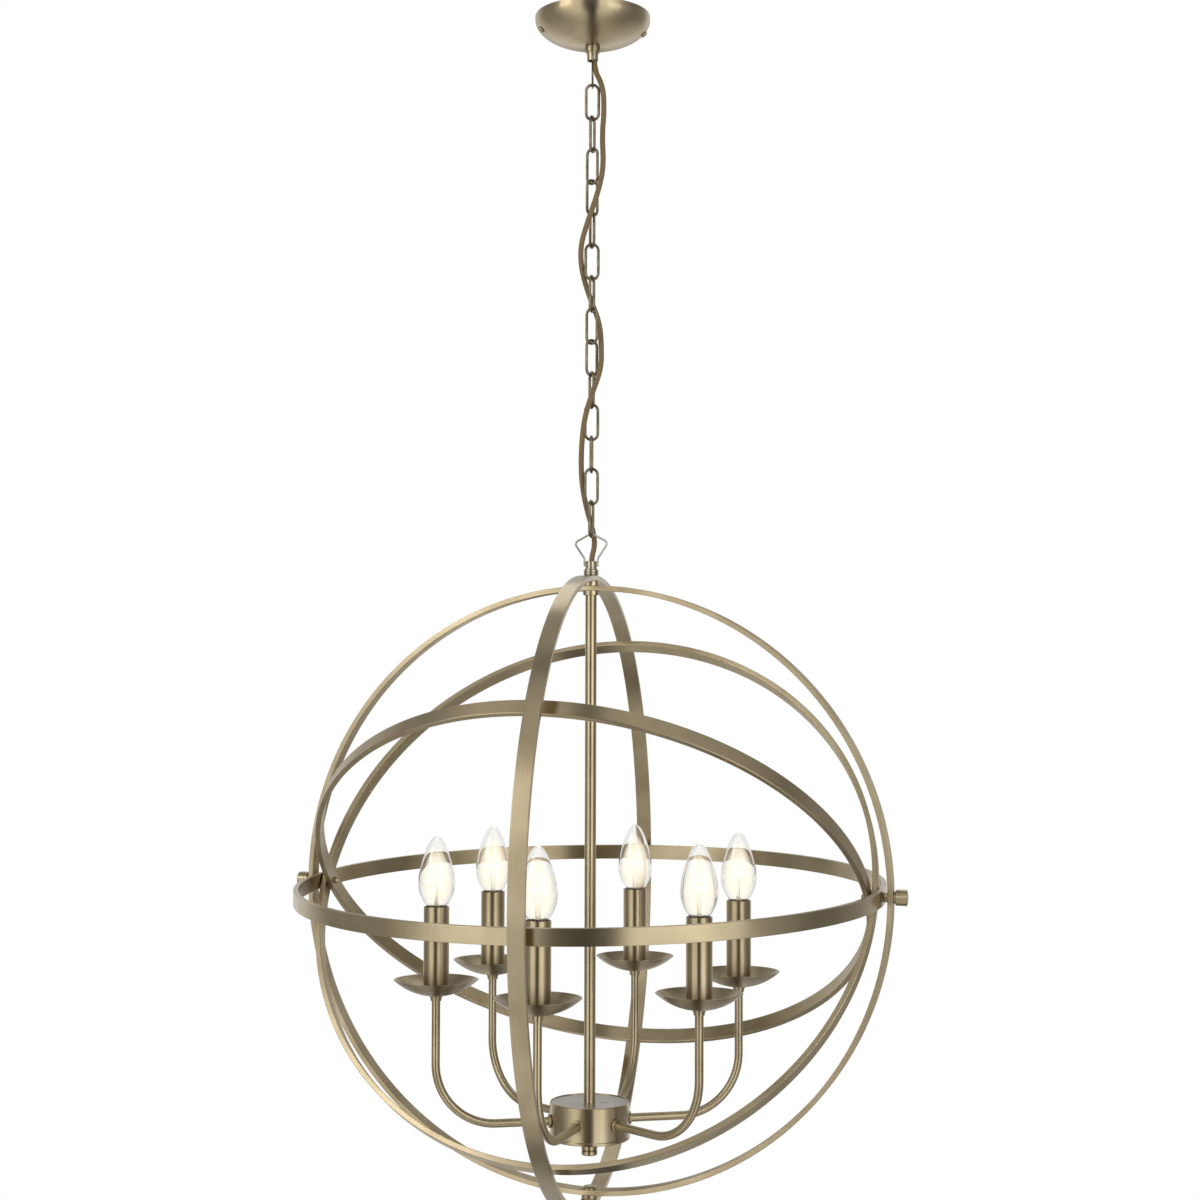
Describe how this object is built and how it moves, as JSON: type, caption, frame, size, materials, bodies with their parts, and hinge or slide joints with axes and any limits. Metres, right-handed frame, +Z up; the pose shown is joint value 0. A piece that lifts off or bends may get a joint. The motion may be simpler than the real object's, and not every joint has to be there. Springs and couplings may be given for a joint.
{
  "type": "orb chandelier",
  "caption": "Hanging ceiling light: candle lamps on curved arms inside an orb of nested flat hoops, on a chain with the flex wound round it below a domed canopy.",
  "frame": {"origin": "middle of the two ceiling slots, on the bracket's upper face against the ceiling", "axes": "+Z up, +X along the pins that the inner hoops tilt on, -Y towards the front"},
  "size_m": [0.6064, 0.5992, 1.1502],
  "materials": {
    "antique_brass": "satin, aged",
    "nickel": "satin",
    "zinc_steel": "zinc plated",
    "white_plastic": "matte",
    "dark_plastic": "matte",
    "braid": "braided",
    "clear_glass": "clear",
    "cap_metal": "bright"
  },
  "bodies": {
    "ceiling_fitting": {"ceiling_bracket": "zinc_steel", "canopy_strap": "zinc_steel", "canopy": "antique_brass", "canopy_screws": "antique_brass", "terminal_block": "white_plastic", "canopy_gallery": "antique_brass", "canopy_nut": "zinc_steel", "flex": "braid"},
    "canopy_bail": {"canopy_bail": "nickel"},
    "chain_link_01": {"chain_link_01": "antique_brass"},
    "chain_link_02": {"chain_link_02": "antique_brass"},
    "chain_link_03": {"chain_link_03": "antique_brass"},
    "chain_link_04": {"chain_link_04": "antique_brass"},
    "chain_link_05": {"chain_link_05": "antique_brass"},
    "chain_link_06": {"chain_link_06": "antique_brass"},
    "chain_link_07": {"chain_link_07": "antique_brass"},
    "chain_link_08": {"chain_link_08": "antique_brass"},
    "chain_link_09": {"chain_link_09": "antique_brass"},
    "chain_link_10": {"chain_link_10": "antique_brass"},
    "chain_link_11": {"chain_link_11": "antique_brass"},
    "chain_link_12": {"chain_link_12": "antique_brass"},
    "chain_link_13": {"chain_link_13": "antique_brass"},
    "chain_link_14": {"chain_link_14": "antique_brass"},
    "orb_bail": {"orb_bail": "nickel"},
    "orb": {"orb_gallery": "antique_brass", "hoop_spacers": "antique_brass", "stem": "antique_brass", "stem_nuts": "antique_brass", "foot_screw": "antique_brass", "foot_nut": "antique_brass", "pivot_pins": "antique_brass", "hoop_main": "antique_brass", "hub_body": "antique_brass", "hub_cover": "antique_brass", "finial_nut": "antique_brass", "arms": "antique_brass", "arm_collars": "antique_brass", "pan_seats": "antique_brass", "drip_pan_1": "antique_brass", "drip_pan_2": "antique_brass", "drip_pan_3": "antique_brass", "drip_pan_4": "antique_brass", "drip_pan_5": "antique_brass", "drip_pan_6": "antique_brass", "candle_sleeve_1": "antique_brass", "candle_sleeve_2": "antique_brass", "candle_sleeve_3": "antique_brass", "candle_sleeve_4": "antique_brass", "candle_sleeve_5": "antique_brass", "candle_sleeve_6": "antique_brass", "lampholders": "dark_plastic", "bulb_glasses": "clear_glass", "bulb_caps": "cap_metal", "filaments": "cap_metal"},
    "hoop_outer": {"hoop_outer": "antique_brass"},
    "hoop_level": {"hoop_level": "antique_brass"},
    "hoop_rear": {"hoop_rear": "antique_brass"},
    "hoop_front": {"hoop_front": "antique_brass"},
    "knob_left": {"knob_left": "antique_brass"},
    "knob_right": {"knob_right": "antique_brass"}
  },
  "joints": [
    {"name": "canopy_bail_swing", "type": "hinge", "parent": "ceiling_fitting", "child": "canopy_bail", "pos_m": [0, 0, -0.0384], "axis": [0.2756, -0.9613, 0], "range_deg": [-45, 45], "deforming": ["flex"]},
    {"name": "link_01_swing", "type": "hinge", "parent": "canopy_bail", "child": "chain_link_01", "pos_m": [0, 0, -0.0694], "axis": [-0.2756, 0.9613, 0], "range_deg": [-30, 30], "deforming": ["flex"]},
    {"name": "link_02_swing", "type": "hinge", "parent": "chain_link_01", "child": "chain_link_02", "pos_m": [0, 0, -0.10105], "axis": [0.9613, 0.2756, 0], "range_deg": [-30, 30], "deforming": ["flex"]},
    {"name": "link_03_swing", "type": "hinge", "parent": "chain_link_02", "child": "chain_link_03", "pos_m": [0, 0, -0.1323], "axis": [0.0349, 0.9994, 0], "range_deg": [-30, 30], "deforming": ["flex"]},
    {"name": "link_04_swing", "type": "hinge", "parent": "chain_link_03", "child": "chain_link_04", "pos_m": [0, 0, -0.16355], "axis": [-0.9397, 0.342, 0], "range_deg": [-30, 30], "deforming": ["flex"]},
    {"name": "link_05_swing", "type": "hinge", "parent": "chain_link_04", "child": "chain_link_05", "pos_m": [0, 0, -0.1948], "axis": [-0.6157, -0.788, 0], "range_deg": [-30, 30], "deforming": ["flex"]},
    {"name": "link_06_swing", "type": "hinge", "parent": "chain_link_05", "child": "chain_link_06", "pos_m": [0, 0, -0.22605], "axis": [0.5592, -0.829, 0], "range_deg": [-30, 30], "deforming": ["flex"]},
    {"name": "link_07_swing", "type": "hinge", "parent": "chain_link_06", "child": "chain_link_07", "pos_m": [0, 0, -0.2573], "axis": [0.9613, 0.2756, 0], "range_deg": [-30, 30], "deforming": ["flex"]},
    {"name": "link_08_swing", "type": "hinge", "parent": "chain_link_07", "child": "chain_link_08", "pos_m": [0, 0, -0.28855], "axis": [0.0349, 0.9994, 0], "range_deg": [-30, 30], "deforming": ["flex"]},
    {"name": "link_09_swing", "type": "hinge", "parent": "chain_link_08", "child": "chain_link_09", "pos_m": [0, 0, -0.3198], "axis": [-0.9397, 0.342, 0], "range_deg": [-30, 30], "deforming": ["flex"]},
    {"name": "link_10_swing", "type": "hinge", "parent": "chain_link_09", "child": "chain_link_10", "pos_m": [0, 0, -0.35105], "axis": [-0.6157, -0.788, 0], "range_deg": [-30, 30], "deforming": ["flex"]},
    {"name": "link_11_swing", "type": "hinge", "parent": "chain_link_10", "child": "chain_link_11", "pos_m": [0, 0, -0.3823], "axis": [0.5592, -0.829, 0], "range_deg": [-30, 30], "deforming": ["flex"]},
    {"name": "link_12_swing", "type": "hinge", "parent": "chain_link_11", "child": "chain_link_12", "pos_m": [0, 0, -0.41355], "axis": [0.9613, 0.2756, 0], "range_deg": [-30, 30], "deforming": ["flex"]},
    {"name": "link_13_swing", "type": "hinge", "parent": "chain_link_12", "child": "chain_link_13", "pos_m": [0, 0, -0.4448], "axis": [-0.1851, 0.9827, 0], "range_deg": [-30, 30], "deforming": ["flex"]},
    {"name": "link_14_swing", "type": "hinge", "parent": "chain_link_13", "child": "chain_link_14", "pos_m": [0, 0, -0.47605], "axis": [-0.9957, -0.0929, 0], "range_deg": [-30, 30], "deforming": ["flex"]},
    {"name": "orb_bail_swing", "type": "hinge", "parent": "chain_link_14", "child": "orb_bail", "pos_m": [0, 0, -0.5073], "axis": [0, -1, 0], "range_deg": [-45, 45], "deforming": ["flex"]},
    {"name": "orb_swing", "type": "hinge", "parent": "orb_bail", "child": "orb", "pos_m": [0, 0, -0.5356], "axis": [1, 0, 0], "range_deg": [-30, 30], "deforming": ["flex"]},
    {"name": "hoop_outer_turn", "type": "hinge", "parent": "orb", "child": "hoop_outer", "pos_m": [0, 0, -0.8453], "axis": [0, 0, 1], "range_deg": [-90, 81]},
    {"name": "hoop_level_tilt", "type": "hinge", "parent": "orb", "child": "hoop_level", "pos_m": [0, 0, -0.8453], "axis": [1, 0, 0], "range_deg": [-88.6, 83.4]},
    {"name": "hoop_rear_tilt", "type": "hinge", "parent": "orb", "child": "hoop_rear", "pos_m": [0, 0, -0.8453], "axis": [1, 0, 0], "range_deg": [-145.3, 26.7]},
    {"name": "hoop_front_tilt", "type": "hinge", "parent": "orb", "child": "hoop_front", "pos_m": [0, 0, -0.8453], "axis": [1, 0, 0], "range_deg": [-45.3, 126.7]},
    {"name": "knob_left_turn", "type": "hinge", "parent": "orb", "child": "knob_left", "pos_m": [-0.297, 0, -0.8453], "axis": [-1, 0, 0], "range_deg": [0, 360]},
    {"name": "knob_right_turn", "type": "hinge", "parent": "orb", "child": "knob_right", "pos_m": [0.297, 0, -0.8453], "axis": [1, 0, 0], "range_deg": [0, 360]}
  ]
}
